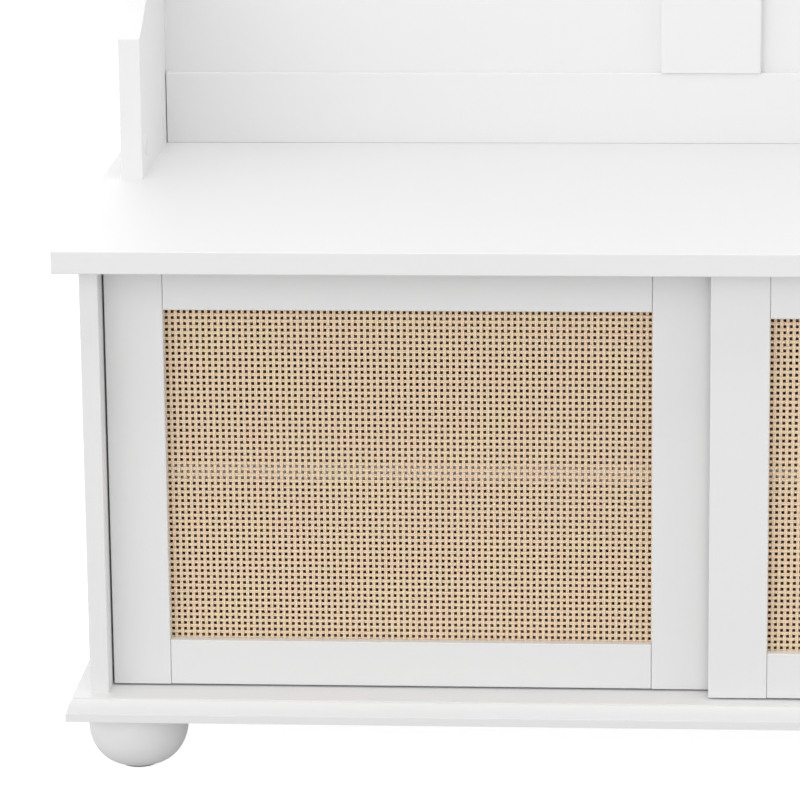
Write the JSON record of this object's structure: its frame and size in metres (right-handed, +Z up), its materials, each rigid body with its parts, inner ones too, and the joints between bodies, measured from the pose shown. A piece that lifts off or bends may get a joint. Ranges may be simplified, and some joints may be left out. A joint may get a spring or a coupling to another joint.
{
  "type": "hall tree",
  "caption": "White hall tree: a bench cabinet with sliding cane doors on bun feet, under a tall hutch with coat hooks and a top shelf.",
  "frame": {"origin": "on the floor under the middle of the overall box", "axes": "+X to the right seen from the front, +Y towards the wall, +Z up"},
  "size_m": [1.02, 0.472, 1.63],
  "materials": {
    "white_paint": "satin paint on fibreboard",
    "cane": "natural woven cane, dry",
    "nylon": "moulded",
    "aluminium": "extruded, satin",
    "zinc_steel": "zinc plated",
    "zinc_die_cast": "die cast",
    "felt": "pressed felt",
    "beech": "raw beech",
    "black_iron": "satin black powder coat"
  },
  "bodies": {
    "cabinet": {"back_panel_nails": "zinc_steel", "base_board": "white_paint", "bench_top": "white_paint", "cabinet_back_panel": "white_paint", "cam_bolts": "zinc_steel", "cam_covers": "nylon", "cam_locks": "zinc_die_cast", "centre_divider": "white_paint", "coat_hook_1": "black_iron", "coat_hook_2": "black_iron", "coat_hook_3": "black_iron", "coat_hook_4": "black_iron", "door_floor_guides": "nylon", "dowels": "beech", "foot_bolts": "zinc_steel", "foot_nuts": "zinc_steel", "foot_pads": "felt", "front_left_foot": "white_paint", "front_right_foot": "white_paint", "hook_rail": "white_paint", "hook_screws": "black_iron", "hutch_back_panel": "white_paint", "hutch_bottom_rail": "white_paint", "hutch_centre_batten": "white_paint", "hutch_left_side": "white_paint", "hutch_right_side": "white_paint", "left_shelf": "white_paint", "left_side_panel": "white_paint", "rear_left_foot": "white_paint", "rear_right_foot": "white_paint", "right_shelf": "white_paint", "right_side_panel": "white_paint", "shelf_apron": "white_paint", "shelf_pins": "zinc_steel", "top_door_track": "aluminium", "top_shelf": "white_paint"},
    "left_door": {"left_door_beads": "white_paint", "left_door_bottom_rail": "white_paint", "left_door_cane_sheet": "cane", "left_door_glides": "nylon", "left_door_left_stile": "white_paint", "left_door_right_stile": "white_paint", "left_door_top_rail": "white_paint"},
    "right_door": {"right_door_beads": "white_paint", "right_door_bottom_rail": "white_paint", "right_door_cane_sheet": "cane", "right_door_glides": "nylon", "right_door_left_stile": "white_paint", "right_door_right_stile": "white_paint", "right_door_top_rail": "white_paint"}
  },
  "joints": [
    {"name": "left_door_slide", "type": "slide", "parent": "cabinet", "child": "left_door", "axis": [1, 0, 0], "range_m": [0, 0.44]},
    {"name": "right_door_slide", "type": "slide", "parent": "cabinet", "child": "right_door", "axis": [-1, 0, 0], "range_m": [0, 0.44]}
  ]
}
